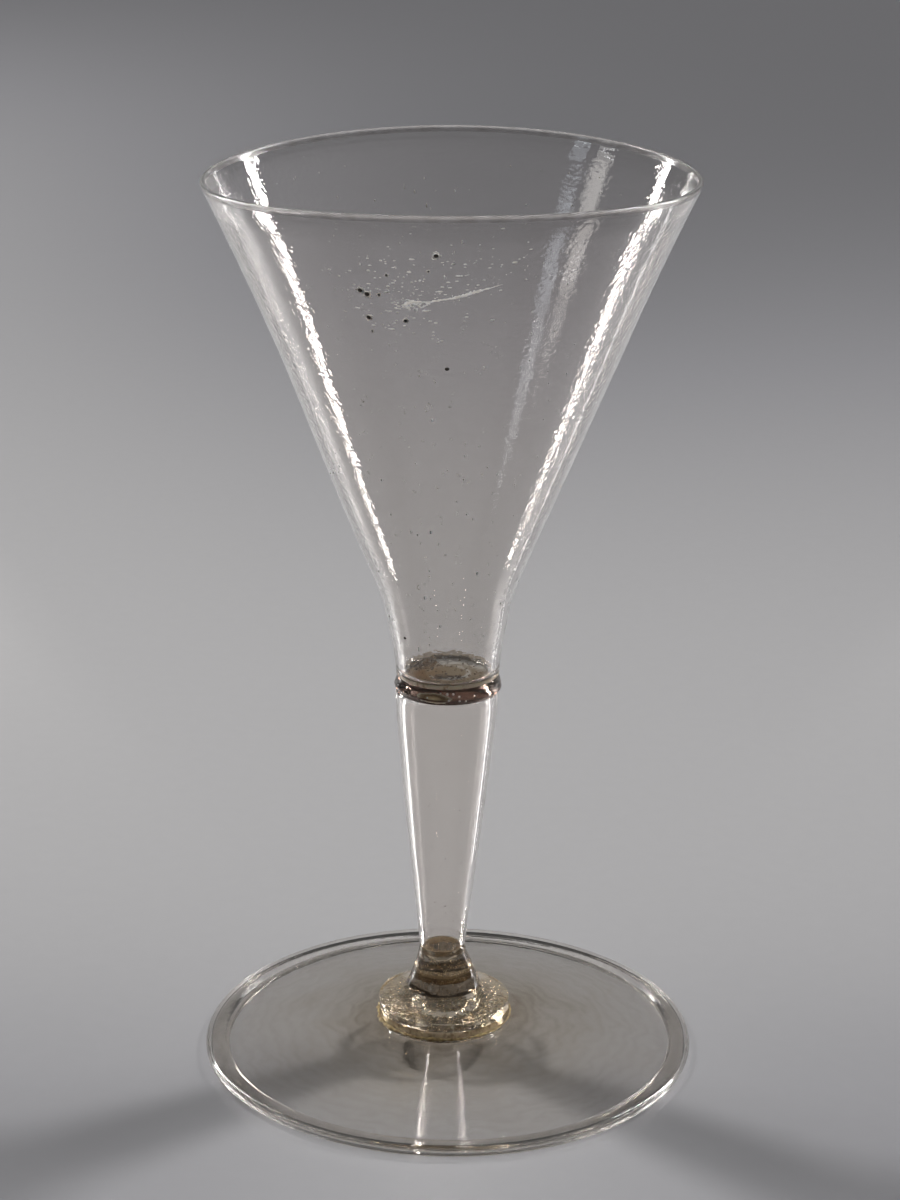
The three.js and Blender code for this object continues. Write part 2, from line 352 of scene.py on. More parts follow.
def turned(name, profile, warp, zones, around, crease=35.0):
    """A turned surface: the point (u, v) is the profile point u at the turn v about the upright
    axis, moved by warp(radius, turn, height). Profile points on the axis become single poles.
    Faces whose profile points both lie in a zone (material number, inner radius, outer radius,
    lowest height, highest height) get that material, and the later zone wins. Edges sharper than
    the crease, in degrees, are shaded sharp."""
    radius, height = profile.T
    grid = warp(radius[:, None], turns(around)[None, :], height[:, None])
    grid = np.stack(np.broadcast_arrays(*grid), axis=-1) / 1000.0
    count = len(profile)
    pole = radius < 1e-6
    start = np.concatenate([[0], np.cumsum(np.where(pole, 1, around))])[:-1]
    points = [grid[k].mean(axis=0, keepdims=True) if pole[k] else grid[k] for k in range(count)]
    closed = not (pole[0] or pole[-1])
    here = np.arange(around)
    there = (here + 1) % around
    slack = 1e-6
    faces = []
    numbers = []
    for k in range(count if closed else count - 1):
        n = (k + 1) % count
        if pole[k] and pole[n]:
            continue
        if pole[k]:
            corners = [start[n] + here, np.full(around, start[k]), start[n] + there]
        elif pole[n]:
            corners = [start[k] + there, np.full(around, start[n]), start[k] + here]
        else:
            corners = [start[k] + here, start[k] + there, start[n] + there, start[n] + here]
        near, far = sorted((radius[k], radius[n]))
        bottom, top = sorted((height[k], height[n]))
        number = 0
        for index, inner, outer, low, high in zones:
            if (inner - slack <= near and far <= outer + slack
                    and low - slack <= bottom and top <= high + slack):
                number = index
        faces += np.stack(corners, axis=1).tolist()
        numbers += [number] * around
    mesh = meshed(name, np.vstack(points), faces)
    mesh.polygons.foreach_set("material_index", np.array(numbers, dtype=np.int32))
    mesh.set_sharp_from_angle(angle=math.radians(crease))
    return mesh


def clear_glass(name, tint, shade_face, shade_edge, ripple, ripple_size, stretch=(1.0, 1.0, 1.0)):
    """Clear glass: a tinted dielectric whose surface wavers by the ripple height in metres, with
    waves of about the ripple size. Shadow rays see the second shader, a plain pane that gets
    darker towards its edges, because the table paper can't gather refracted light."""
    glass, tree = material(name)
    fainter = tuple(c * 0.985 for c in tint)
    relief = put(tree, "Bump", "Normal", Height=noise(tree, 1.0 / ripple_size, 2.0, stretch),
                 Distance=ripple, Filter_Width=0.01)
    cloud = ramp(tree, noise(tree, 60.0, 3.0), (0.3, fainter), (0.7, tint))
    clear = body(tree, Transmission_Weight=1.0, IOR=1.5, Roughness=0.0, Base_Color=cloud, Normal=relief)
    facing = put(tree, "LayerWeight", "Facing")
    shade = ramp(tree, facing, (0.0, grey(shade_face)), (1.0, grey(shade_edge)))
    pane = put(tree, "BsdfTransparent", "BSDF", Color=shade)
    shadow = put(tree, "LightPath", "Is Shadow Ray")
    wire(tree, tree.nodes["Material Output"], Surface=either(tree, shadow, clear.outputs["BSDF"], pane))
    return glass


def wandering(tree, value, scale, detail, reach):
    """The value plus the reach times noise of the given scale and detail."""
    node = tree.nodes.new("ShaderNodeMath")
    node.operation = "MULTIPLY_ADD"
    tree.links.new(noise(tree, scale, detail), node.inputs[0])
    node.inputs[1].default_value = reach
    tree.links.new(value, node.inputs[2])
    return node.outputs["Value"]


def rings(tree, scale, distortion, detail, detail_scale):
    """Wavering rings about the upright axis."""
    node = tree.nodes.new("ShaderNodeTexWave")
    node.wave_type = "RINGS"
    node.rings_direction = "Z"
    return wire(tree, node, Vector=put(tree, "TexCoord", "Object"), Scale=scale, Distortion=distortion,
                Detail=detail, Detail_Scale=detail_scale).outputs["Fac"]


def stand(name, mesh, materials, node=""):
    """Puts a finished piece of the glass in the scene, riding on the root body. Grains and dirt
    stand in for no node."""
    for stuff in materials:
        mesh.materials.append(stuff)
    piece = shown(name, mesh)
    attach(piece, "root")
    if node:
        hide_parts(node)


def gather(name, profile, warp, around, slot, glasses, *zones):
    """Stands a turned gather of the glass in place of the solid of the same name."""
    stand(name, turned(name, profile, warp, zones, around), glasses, name)


fused_face, tree = material("fused_face")
tree.nodes.clear()
wire(tree, tree.nodes.new("ShaderNodeOutputMaterial"), Surface=put(tree, "BsdfTransparent", "BSDF"))

WIDE_TURN = 256
FOOT_FOLD = 43.1
FOOT_TOP = 6.8
FOOT_UNDER = 5.3
foot_profile = np.vstack([
    flat(FOOT_UNDER, 0.0, 3.1, 4),
    flat(FOOT_UNDER, 3.1, 5.6, 6),
    flat(FOOT_UNDER, 5.6, 12.2, 6),
    bend((12.2, FOOT_UNDER), (13.0, FOOT_UNDER), (14.2, 5.05), 6),
    bend((14.2, 5.05), (27.9, 2.62), (FOOT_FOLD, 1.15), 56),
    flat(1.15, FOOT_FOLD, 45.9, 10),
    arc((45.9, 0.975), 0.175, 90.0, -90.0, 8),
    flat(0.80, 45.9, 43.45, 10),
    arc((43.45, 0.40), 0.40, 90.0, 270.0, 14),
    flat(0.0, 43.45, 46.0, 8),
    arc((46.0, 1.19), 1.19, -90.0, 90.0, 26),
    bend((46.0, 2.38), (44.3, 2.42), (FOOT_FOLD, 1.80), 12),
    bend((FOOT_FOLD, 1.80), (27.9, 3.40), (13.4, 6.62), 60),
    bend((13.4, 6.62), (12.9, FOOT_TOP), (12.45, FOOT_TOP), 6),
    flat(FOOT_TOP, 12.45, 0.0, 12),
    [(0.0, FOOT_TOP)],
])


def foot_warp(radius, turn, height):
    """Leans the foot, lifts its left edge by half a millimetre, and lets the fold's width and
    the edge's height wander slowly round it."""
    out = np.clip((radius - 14.0) / 28.0, 0.0, 1.0) ** 2
    fold = np.exp(-((radius - 43.4) / 1.2) ** 2) * np.clip((1.6 - height) / 0.6, 0.0, 1.0)
    r = radius + fold * (0.45 * np.cos(turn) + 0.12 * np.cos(3.0 * turn + 1.0))
    r = r + out * 0.10 * np.cos(2.0 * turn + 0.7)
    z = height + out * (0.26 - 0.24 * np.cos(turn) + 0.10 * np.cos(3.0 * turn + 0.4))
    return placed(r, turn, z, lean(height) * (1.0 - out) - 0.45 * out)


foot_glass = clear_glass("foot_glass", (0.985, 0.975, 0.962), 1.0, 0.72, 2.0e-5, 0.0016)
tree = foot_glass.node_tree
reach = tree.nodes.new("ShaderNodeVectorMath")
reach.operation = "LENGTH"
tree.links.new(own(tree, (1.0, 1.0, 0.0)), reach.inputs[0])
outward = put(tree, "MapRange", "Result", From_Min=0.020, From_Max=0.056,
              Value=wandering(tree, reach.outputs["Value"], 90.0, 4.0, 0.020))
# The foot's colour: its own faint warm tint far out, and painted shade that makes it darker and browner
# towards the disc, where the shadows of the disc and the stem fall through it.
tint_and_painted_shade = ramp(tree, outward, (0.05, (0.66, 0.58, 0.47)), (0.30, (0.82, 0.76, 0.67)),
             (0.60, (0.92, 0.88, 0.82)), (1.0, (0.97, 0.945, 0.91)))
# Painted shade: wavering dark rings round the disc that stand in for the bands of shade that the foot's
# ripples cast on the table. They fade outwards.
painted_ripple_shade = ramp(tree, rings(tree, 110.0, 11.0, 3.0, 1.7), (0.0, (0.80, 0.775, 0.74)),
                 (0.45, (0.95, 0.94, 0.925)), (1.0, (1.0, 1.0, 1.0)))
fade = put(tree, "MapRange", "Result", Value=outward, From_Max=0.45, To_Min=1.0, To_Max=0.22)
body(tree, Base_Color=product(tree, tint_and_painted_shade, painted_ripple_shade, fade))
spun = put(tree, "Bump", "Normal", Height=rings(tree, 240.0, 3.0, 2.0, 0.6), Distance=0.3e-5)
wire(tree, tree.nodes["Bump"], Normal=spun)
under_glass = clear_glass("under_glass", (0.80, 0.68, 0.50), 1.0, 0.72, 1.6e-4, 0.0009)
gather("foot", foot_profile, foot_warp, WIDE_TURN, "foot_glass", [foot_glass, fused_face, under_glass],
       (1, 0.0, 12.45, FOOT_TOP, FOOT_TOP), (2, 0.0, 12.2, FOOT_UNDER, FOOT_UNDER),
       (1, 3.1, 5.6, FOOT_UNDER, FOOT_UNDER))


# The pontil scar: the rough broken ring of glass left under the middle of the foot where the
# working rod was cracked off. It is the same clear glass and hangs clear of the table.
NARROW_TURN = 192
scar_profile = np.vstack([
    flat(FOOT_UNDER, 5.6, 3.1, 10),
    bend((3.1, FOOT_UNDER), (3.1, 3.9), (4.35, 3.9), 14),
    bend((4.35, 3.9), (5.6, 3.9), (5.6, FOOT_UNDER), 14),
])


def scar_warp(radius, turn, height):
    """Breaks the ring's lower edge into uneven chips, and leaves its fused top flat."""
    drop = np.clip((FOOT_UNDER - height) / 1.4, 0.0, 1.0)
    chip = 0.30 * np.sin(5.0 * turn + 0.6) + 0.22 * np.sin(11.0 * turn + 2.0) + 0.14 * np.sin(23.0 * turn)
    r = radius + drop * 0.16 * np.sin(9.0 * turn + 1.1)
    return placed(r, turn, height + drop * (0.35 + 0.45 * chip), lean(FOOT_UNDER))


scar_glass = clear_glass("scar_glass", (0.93, 0.92, 0.89), 0.85, 0.35, 6.0e-5, 0.0009)
gather("pontil_scar", scar_profile, scar_warp, NARROW_TURN, "scar_glass", [scar_glass, fused_face],
       (1, 3.1, 5.6, FOOT_UNDER, FOOT_UNDER))


# The foot disc: a solid button of glass dropped on the foot and pressed flat with a rounded edge.
# Its glass is browner and full of tiny seeds.
DISC_TOP = 12.5
disc_profile = np.vstack([
    flat(FOOT_TOP, 0.0, 12.45, 10),
    arc((12.45, 7.10), 0.30, -90.0, 0.0, 8),
    bend((12.75, 7.10), (12.60, 7.70), (12.64, 8.30), 8),
    bend((12.64, 8.30), (12.68, 9.00), (12.75, 9.75), 8),
    arc((12.40, 9.80), 0.35, 0.0, 70.0, 12),
    bend((12.52, 10.13), (9.6, 11.00), (7.4, 12.15), 20),
    bend((7.4, 12.15), (7.0, 12.35), (6.7, DISC_TOP), 5),
    flat(DISC_TOP, 6.7, 0.0, 8),
    [(0.0, DISC_TOP)],
])


def disc_warp(radius, turn, height):
    """Leans the disc and presses it very slightly out of round and out of level."""
    free = np.clip((radius - 5.7) / 6.0, 0.0, 1.0) * np.clip((height - FOOT_TOP) / 1.0, 0.0, 1.0)
    r = radius + free * (0.08 * np.cos(2.0 * turn + 1.9) + 0.05 * np.cos(5.0 * turn))
    z = height + free * (0.10 * np.cos(turn - 2.4) + 0.05 * np.cos(3.0 * turn))
    return placed(r, turn, z, lean(height))


def cloudy_glass(name, tint, milk, shade_face, shade_edge, seed):
    """The clear glass, made cloudy: the share milk of it scatters light, and its tint is broken
    by golden brown streaks a millimetre long."""
    glass = clear_glass(name, tint, shade_face, shade_edge, 4.5e-5, 0.0009)
    tree = glass.node_tree
    deep = tuple(c * k for c, k in zip(tint, (0.42, 0.34, 0.22)))
    streaks = noise(tree, 900.0, 6.0, (1.0, 1.0, 0.6), (seed, 0.0, 0.0), 0.65)
    colour = ramp(tree, streaks, (0.34, deep), (0.47, tint), (0.62, tint), (0.72, (0.90, 0.86, 0.78)))
    body(tree, Transmission_Weight=1.0 - milk, Roughness=0.04, Subsurface_Weight=1.0,
         Subsurface_Radius=(1.0, 0.85, 0.6), Subsurface_Scale=0.004, Base_Color=colour)
    return glass


disc_glass = cloudy_glass("disc_glass", (0.80, 0.68, 0.51), 0.10, 0.80, 0.54, 0.0)
band_glass = cloudy_glass("band_glass", (0.66, 0.48, 0.25), 0.40, 0.60, 0.30, 7.0)
gather("foot_disc", disc_profile, disc_warp, NARROW_TURN, "solid_glass", [disc_glass, fused_face, band_glass],
       (1, 0.0, 12.45, FOOT_TOP, FOOT_TOP), (1, 0.0, 6.7, DISC_TOP, DISC_TOP),
       (2, 12.4, 12.8, FOOT_TOP, 8.30))


# Flecks in the disc: scale and tiny bubbles that were trapped as it was pressed, golden brown and
# partly bright as mirrors. They lie just under its sloping top and round its side.
def speck_mesh(name, centre, along, up, out, half, rows=3, spokes=6):
    """Many small ellipsoids as one mesh: each point is centre + a half_1 along + b half_2 up
    + c half_3 out, with (a, b, c) on the unit sphere. All lengths are in millimetres."""
    fall = np.linspace(0.0, np.pi, rows + 2)[1:-1, None]
    turn = turns(spokes)[None, :]
    a = (np.sin(fall) * np.cos(turn)).ravel()
    b = (np.sin(fall) * np.sin(turn)).ravel()
    c = np.repeat(np.cos(fall), spokes)
    unit = np.vstack([[[0.0, 0.0, 1.0]], np.stack([a, b, c], axis=1), [[0.0, 0.0, -1.0]]])
    axes = np.stack([along * half[:, 0:1], up * half[:, 1:2], out * half[:, 2:3]], axis=1)
    points = centre[:, None, :] + np.einsum("pk,nkx->npx", unit, axes)
    last = 1 + (rows - 1) * spokes
    caps = np.vstack([fan_faces(spokes, 0, 1), fan_faces(spokes, last + spokes, last)[:, [0, 2, 1]]])
    start = np.arange(len(centre))[:, None, None] * len(unit)
    faces = (start + caps).reshape(-1, 3).tolist()
    faces += (start + band_faces(rows, spokes, 1)).reshape(-1, 4).tolist()
    return meshed(name, points.reshape(-1, 3) / 1000.0, faces)


def level_marks(name, warp, radius, turn, height, half, stuff):
    """Stands small ellipsoids of one material, with level sides, at places moved by warp."""
    centre = np.stack(warp(radius, turn, height), axis=1)
    way = np.stack([-np.sin(turn), np.cos(turn), np.zeros_like(turn)], axis=1)
    up = np.tile([0.0, 0.0, 1.0], (len(turn), 1))
    stand(name, speck_mesh(name, centre, way, up, np.cross(way, up), half), [stuff])


def grit(name, dark, light, size, roughness, glow_through, metal=0.0):
    """Grains or dirt whose colour wanders between dark and light over the given size. The share
    glow_through of light soaks through them, and the share metal of them is mirror-like."""
    stuff, tree = material(name)
    body(tree, Subsurface_Weight=glow_through, Metallic=metal,
         Subsurface_Radius=(1.0, 0.9, 0.8), Subsurface_Scale=0.0008, Roughness=roughness,
         Base_Color=ramp(tree, noise(tree, 1.0 / size, 3.0), (0.35, dark), (0.65, light)))
    return stuff


rng = np.random.default_rng(31)
DISC_FLECKS = 2200
SIDE_FLECKS = 700
fleck_turn = rng.uniform(0.0, 2.0 * np.pi, DISC_FLECKS)
fleck_radius = 12.4 * np.sqrt(rng.uniform(0.27, 1.0, DISC_FLECKS))
fleck_roof = np.interp(fleck_radius, [6.4, 7.4, 9.6, 11.0, 12.4], [12.3, 12.05, 11.02, 10.55, 10.0])
fleck_height = fleck_roof - 0.12 - 2.6 * rng.uniform(0.0, 1.0, DISC_FLECKS) ** 3
fleck_radius[:SIDE_FLECKS] = 12.55
fleck_height[:SIDE_FLECKS] = 7.0 + 2.6 * rng.uniform(0.0, 1.0, SIDE_FLECKS) ** 1.6
fleck_half = rng.uniform(0.03, 0.12, (DISC_FLECKS, 3)) * [1.6, 0.8, 0.8]
gold_grit = grit("gold_grit", (0.16, 0.09, 0.04), (0.95, 0.85, 0.64), 0.0010, 0.30, 0.5, 0.75)
level_marks("disc_flecks", disc_warp, fleck_radius, fleck_turn, fleck_height, fleck_half, gold_grit)


# Dirt in the crevice round the disc: an uneven golden brown line of old dust where the disc's
# edge meets the foot. It is thickest at the front left and never cleaned out.
def dirt_warp(radius, turn, height):
    """Scales the small circle of the profile by the dirt's width, which wanders round the disc."""
    wave = 0.5 + 0.28 * np.sin(7.0 * turn + 1.0) + 0.22 * np.sin(17.0 * turn)
    wave += 0.2 * np.sin(43.0 * turn + 2.0)
    wide = (0.12 + 0.34 * np.clip(wave, 0.0, 1.0)) * (1.0 + 0.6 * np.cos(turn - np.radians(215.0)))
    r = 12.85 + wide * (radius - 12.85)
    return placed(r, turn, 6.78 + 0.6 * wide * (height - 6.78), lean(FOOT_TOP))


dirt_mesh = turned("crevice_dirt", arc((12.85, 6.78), 1.0, 0.0, 360.0, 8), dirt_warp, [], 384, 180.0)
gold_dirt = grit("gold_dirt", (0.20, 0.12, 0.04), (0.66, 0.50, 0.24), 0.0010, 0.6, 0.4)
stand("crevice_dirt", dirt_mesh, [gold_dirt])


# The capstan: a solid bell of the same brownish glass between the disc and the stem, drawn in to
# a neck. The closed, rounded end of the stem's bore sinks into its top.
NECK = 21.1
BORE_FOOT = 3.6
pocket_angle = np.radians(np.linspace(0.0, 90.0, 17))
pocket = np.stack([BORE_FOOT * np.cos(pocket_angle), NECK - 3.2 * np.sin(pocket_angle)], axis=1)
pocket[-1, 0] = 0.0
capstan_profile = np.vstack([
    flat(DISC_TOP, 0.0, 6.7, 6),
    arc((6.7, 12.92), 0.42, -90.0, 30.0, 12),
    bend((7.06, 13.13), (6.35, 14.6), (6.02, 15.6), 12),
    bend((6.02, 15.6), (4.75, 18.6), (4.46, 20.4), 18),
    bend((4.46, 20.4), (4.42, 20.8), (4.2, NECK), 6),
    flat(NECK, 4.2, BORE_FOOT, 3),
    pocket,
])


def capstan_warp(radius, turn, height):
    """Leans the capstan and lets its lip wander by a tenth of a millimetre."""
    free = np.clip((height - 13.0) / 1.0, 0.0, 1.0) * np.clip((20.0 - height) / 2.0, 0.0, 1.0)
    r = radius + free * (0.10 * np.cos(turn + 0.5) + 0.06 * np.cos(4.0 * turn))
    return placed(r, turn, height + free * 0.12 * np.cos(turn - 0.6), lean(height))


capstan_glass = cloudy_glass("capstan_glass", (0.56, 0.44, 0.30), 0.06, 0.26, 0.08, 3.0)
# Painted shade: the lower flare of the bell and the underside of its lip, in the groove over the disc, get a
# near black tint.
groove_shade_glass = cloudy_glass("groove_shade_glass", (0.12, 0.08, 0.045), 0.05, 0.26, 0.08, 9.0)
gather("capstan", capstan_profile, capstan_warp, NARROW_TURN, "solid_glass",
       [capstan_glass, fused_face, groove_shade_glass], (1, 0.0, 6.7, DISC_TOP, DISC_TOP),
       (1, BORE_FOOT, 4.2, NECK, NECK), (2, 5.4, 7.2, DISC_TOP, 16.4))


# Flecks in the capstan: the same golden scale as in the disc, drawn out upwards as the bell was
# drawn in. They lie at its skin.
CAPSTAN_FLECKS = 420
fleck_turn = rng.uniform(0.0, 2.0 * np.pi, CAPSTAN_FLECKS)
fleck_height = rng.uniform(12.9, 19.5, CAPSTAN_FLECKS)
fleck_reach = np.interp(fleck_height, [12.8, 14.0, 16.0, 18.0, 20.0], [6.6, 6.2, 5.4, 4.7, 4.2])
fleck_radius = fleck_reach * rng.uniform(0.97, 1.008, CAPSTAN_FLECKS)
fleck_half = rng.uniform(0.04, 0.11, (CAPSTAN_FLECKS, 3)) * [0.8, 2.0, 0.8]
level_marks("capstan_flecks", capstan_warp, fleck_radius, fleck_turn, fleck_height, fleck_half, gold_grit)


# The stem: a blown tube of clear glass, drawn out so that it narrows downwards, with its walls
# thinner below. The capstan and the collar close its bore.
STEM_TOP = 73.9
stem_levels = np.concatenate([[21.1, 21.25, 21.5], np.linspace(22.5, 72.5, 90), [73.2, 73.6, 73.9]])
stem_outer = np.interp(
    stem_levels,
    [21.1, 21.5, 22.8, 26.2, 32.5, 38.8, 45.0, 51.2, 57.4, 63.5, 69.2, 72.5, 73.6, 73.9],
    [4.2, 4.42, 4.51, 4.84, 5.64, 6.34, 7.04, 7.73, 8.41, 8.95, 9.54, 9.74, 9.62, 9.35],
)
stem_bore = np.interp(
    stem_levels,
    [21.1, 22.8, 26.2, 32.5, 38.8, 45.0, 51.2, 57.4, 63.5, 69.2, 73.9],
    [3.6, 3.66, 3.97, 4.58, 5.26, 5.84, 6.41, 6.99, 7.50, 7.89, 8.05],
)


def eased(values, levels, reach):
    """The values averaged along the levels with weights exp(-(distance / reach)^2), which takes
    the kinks out of a measured curve. Past its upper end the curve is taken as straight. The
    lowest four values stay as they are."""
    even = np.arange(levels[0], levels[-1] + 3.0 * reach, 0.1)
    rise = (values[-1] - values[-9]) / (levels[-1] - levels[-9])
    curve = np.interp(even, levels, values) + rise * np.clip(even - levels[-1], 0.0, None)
    weight = np.exp(-(((levels[:, None] - even[None, :]) / reach) ** 2))
    soft = (weight * curve[None, :]).sum(axis=1) / weight.sum(axis=1)
    soft[:4] = values[:4]
    return soft


stem_outer[:-4] = eased(stem_outer, stem_levels, 2.0)[:-4]
stem_bore[:-4] = eased(stem_bore, stem_levels, 2.0)[:-4]
stem_profile = np.vstack([
    np.stack([stem_outer, stem_levels], axis=1),
    flat(STEM_TOP, 9.35, 8.05, 4),
    np.stack([stem_bore, stem_levels], axis=1)[::-1],
    flat(NECK, BORE_FOOT, 4.2, 3)[1:],
])


def stem_warp(radius, turn, height):
    """Only leans."""
    return placed(radius, turn, height, lean(height))


stem_glass = clear_glass("stem_glass", (0.945, 0.918, 0.893), 0.34, 0.05, 8.0e-6, 0.004, (1.0, 1.0, 0.4))
gather("stem", stem_profile, stem_warp, WIDE_TURN, "stem_glass", [stem_glass, fused_face],
       (1, 8.05, 9.35, STEM_TOP, STEM_TOP), (1, BORE_FOOT, 4.2, NECK, NECK))


# Specks in the stem: dark grains of furnace dirt, each under a third of a millimetre, drawn out
# a little along the tube and shut in just under its skin.
def on_wall(wall, turn, height, depth):
    """Places in a turned wall (levels, outer radii, warp), at the given turns in degrees and
    heights, and depth millimetres under the outer face, with the unit directions round, up and
    out of the wall there."""
    levels, outer, warp = wall
    turn = np.radians(turn)
    slope = np.interp(height, levels, np.gradient(outer, levels))
    steep = 1.0 / np.sqrt(1.0 + slope**2)
    radius = np.interp(height, levels, outer) - depth * steep
    centre = np.stack(warp(radius, turn, height + depth * slope * steep), axis=1)
    way = np.stack([-np.sin(turn), np.cos(turn), np.zeros_like(turn)], axis=1)
    up = np.stack([slope * steep * np.cos(turn), slope * steep * np.sin(turn), steep], axis=1)
    return centre, way, up, np.cross(way, up)


def wall_marks(name, wall, turn, height, depth, half, stuff, rows=3, spokes=6):
    """Stands small ellipsoids of one material in a turned wall."""
    stand(name, speck_mesh(name, *on_wall(wall, turn, height, depth), half, rows, spokes), [stuff])


STEM_SPECKS = 60
spot_turn = rng.uniform(0.0, 360.0, STEM_SPECKS)
spot_height = rng.uniform(24.0, 73.0, STEM_SPECKS)
spot_half = rng.uniform(0.04, 0.10, (STEM_SPECKS, 3)) * [1.0, 1.4, 0.4]
dark_grit = grit("dark_grit", (0.020, 0.014, 0.010), (0.09, 0.06, 0.04), 0.0006, 0.5, 0.0)
stem_wall = (stem_levels, stem_outer, stem_warp)
wall_marks("stem_specks", stem_wall, spot_turn, spot_height, 0.02, spot_half, dark_grit)


# The collar: a solid button of glass that closes the stem and carries the bowl. Its side swells
# out past both, and its top is dished under the bowl. Its dark brown tint is painted shade, in
# place of the dark surroundings that the glass turns back inside it.
COLLAR_TOP = 77.0
COLLAR_DISH = 76.2
collar_profile = np.vstack([
    flat(STEM_TOP, 0.0, 8.05, 8),
    flat(STEM_TOP, 8.05, 9.35, 3),
    bend((9.35, STEM_TOP), (9.68, STEM_TOP), (9.76, 74.25), 6),
    bend((9.76, 74.25), (10.14, 74.60), (10.10, 74.95), 8),
    bend((10.10, 74.95), (9.90, 75.80), (9.60, 76.65), 14),
    bend((9.60, 76.65), (9.52, COLLAR_TOP), (9.45, COLLAR_TOP), 6),
    line((9.45, COLLAR_TOP), (8.9, COLLAR_DISH), 3),
    flat(COLLAR_DISH, 8.9, 0.0, 10),
    [(0.0, COLLAR_DISH)],
])


def collar_warp(radius, turn, height):
    """Leans the collar, swells its right edge and lets that edge hang lower."""
    free = np.clip((radius - 9.35) / 0.4, 0.0, 1.0)
    low = np.clip((COLLAR_TOP - height) / 3.0, 0.0, 1.0)
    z = height - free * (0.10 + 0.25 * low) * np.cos(turn - 0.4)
    return placed(radius + free * 0.10 * np.cos(turn - 0.3), turn, z, lean(height))


# Painted shade: the collar's glass is tinted dark brown to stand in for the dark surroundings reflected
# inside it.
collar_glass = clear_glass("collar_glass", (0.19, 0.105, 0.075), 0.30, 0.10, 2.5e-5, 0.003)
gather("bowl_collar", collar_profile, collar_warp, NARROW_TURN, "solid_glass", [collar_glass, fused_face],
       (1, 8.05, 9.35, STEM_TOP, STEM_TOP), (1, 0.0, 9.45, COLLAR_DISH, COLLAR_TOP))


# Bubbles in the collar: fourteen round seeds at its skin, most of them at the front. Each shines
# like a small mirror, because light in the glass turns back at the air.
collar_wall = ([74.1, 74.4, 75.0, 75.5, 76.0, 76.6, 76.9],
               [9.72, 9.95, 10.09, 9.96, 9.82, 9.62, 9.53], collar_warp)
bubble_turn = [-90.5, -84.0, -77.5, -88.5, -77.0, -70.0, -98.0,
               -112.0, -60.0, -40.0, 30.0, 80.0, 140.0, 200.0]
bubble_height = [76.2, 76.2, 75.7, 75.0, 74.9, 74.8, 76.3, 75.2, 75.6, 75.0, 75.2, 75.9, 74.8, 75.5]
bubble_half = np.interp(np.arange(14), [0, 6, 13], [0.27, 0.18, 0.18])[:, None] * [1.0, 1.0, 0.8]
bright_grit = grit("bright_grit", (0.90, 0.88, 0.85), (0.98, 0.96, 0.93), 0.0010, 0.30, 0.0, 1.0)
wall_marks("collar_bubbles", collar_wall, bubble_turn, bubble_height, 0.02, bubble_half, bright_grit, 5, 10)


# The patch on the collar: an oval of crusty golden scale on its left front, pale in the middle
# and at the edge, that came off the tool and stayed in the skin of the glass.
PATCH_RINGS = 15
PATCH_SPOKES = 72
patch_turn = -105.5
patch_height = 75.2
oval_reach = np.linspace(0.0, 1.0, PATCH_RINGS + 1)[1:, None]
oval_around = turns(PATCH_SPOKES)[None, :]
oval_ragged = 1.0 + 0.04 * np.sin(5.0 * oval_around + 1.0) + 0.03 * np.sin(13.0 * oval_around)
oval_turn = patch_turn + 19.5 * oval_reach * oval_ragged * np.cos(oval_around)
oval_height = patch_height + 1.0 * oval_reach * oval_ragged * np.sin(oval_around)
oval_middle = on_wall(collar_wall, np.array([patch_turn]), np.array([patch_height]), -0.05)[0]
oval_points = on_wall(collar_wall, oval_turn.ravel(), oval_height.ravel(), -0.02)[0]
oval_band = np.concatenate([[0.0], np.repeat(oval_reach[:, 0], PATCH_SPOKES)]) - 0.17
oval_mesh = disc_sheet("collar_patch", np.vstack([oval_middle, oval_points]) / 1000.0,
                       PATCH_RINGS, PATCH_SPOKES, "reach", oval_band)
patch_skin, tree = material("patch_skin")
crust = ramp(tree, wandering(tree, field(tree, "reach"), 2200.0, 4.0, 0.34), (0.0, (0.90, 0.74, 0.46)),
             (0.30, (0.70, 0.53, 0.30)), (0.55, (0.25, 0.16, 0.09)), (0.80, (0.42, 0.32, 0.20)),
             (1.0, (0.92, 0.84, 0.68)))
body(tree, Metallic=0.6, Roughness=0.34, Base_Color=crust)
stand("collar_patch", oval_mesh, [patch_skin])


# The bowl: a blown funnel that narrows to a short straight base, with a fire-polished rim. Its
# rim was never level: it dips at the left and the right, and the wall wanders in and out.
bowl_levels = np.concatenate([[77.0, 77.15, 77.4, 77.65, 77.9], np.linspace(78.2, 165.0, 96),
                              np.linspace(165.15, 171.6, 44)])
bowl_outer = np.interp(
    bowl_levels,
    [77.0, 77.15, 77.4, 78.2, 80.0, 82.0, 84.0, 86.0, 88.0, 90.0, 92.0, 94.0, 96.0, 100.0, 105.0,
     110.0, 120.0, 130.0, 140.0, 150.0, 160.0, 170.0, 171.6],
    [9.45, 9.62, 9.72, 9.74, 9.84, 10.11, 10.51, 10.92, 11.28, 11.62, 12.08, 12.68, 13.46, 15.12, 17.18,
     19.22, 23.20, 27.10, 31.03, 35.09, 39.32, 43.74, 44.45],
)
bowl_outer = eased(bowl_outer, bowl_levels, 2.4)
slope = np.gradient(bowl_outer, bowl_levels)
wall = np.interp(bowl_levels, [77.0, 92.0, 140.0, 171.6], [1.45, 1.25, 0.85, 0.60])
wall += 0.0157 * np.clip(bowl_levels - 166.6, 0.0, 5.0) ** 2
below_rim = 171.6 - bowl_levels
wall += 0.012 * np.sin(2.0 * np.pi * below_rim / 1.15) * np.exp(-below_rim / 2.2)
bowl_inner_radius = bowl_outer - wall / np.sqrt(1.0 + slope**2)
bowl_inner_height = bowl_levels + wall * slope / np.sqrt(1.0 + slope**2)
above_floor = bowl_inner_height > 79.2
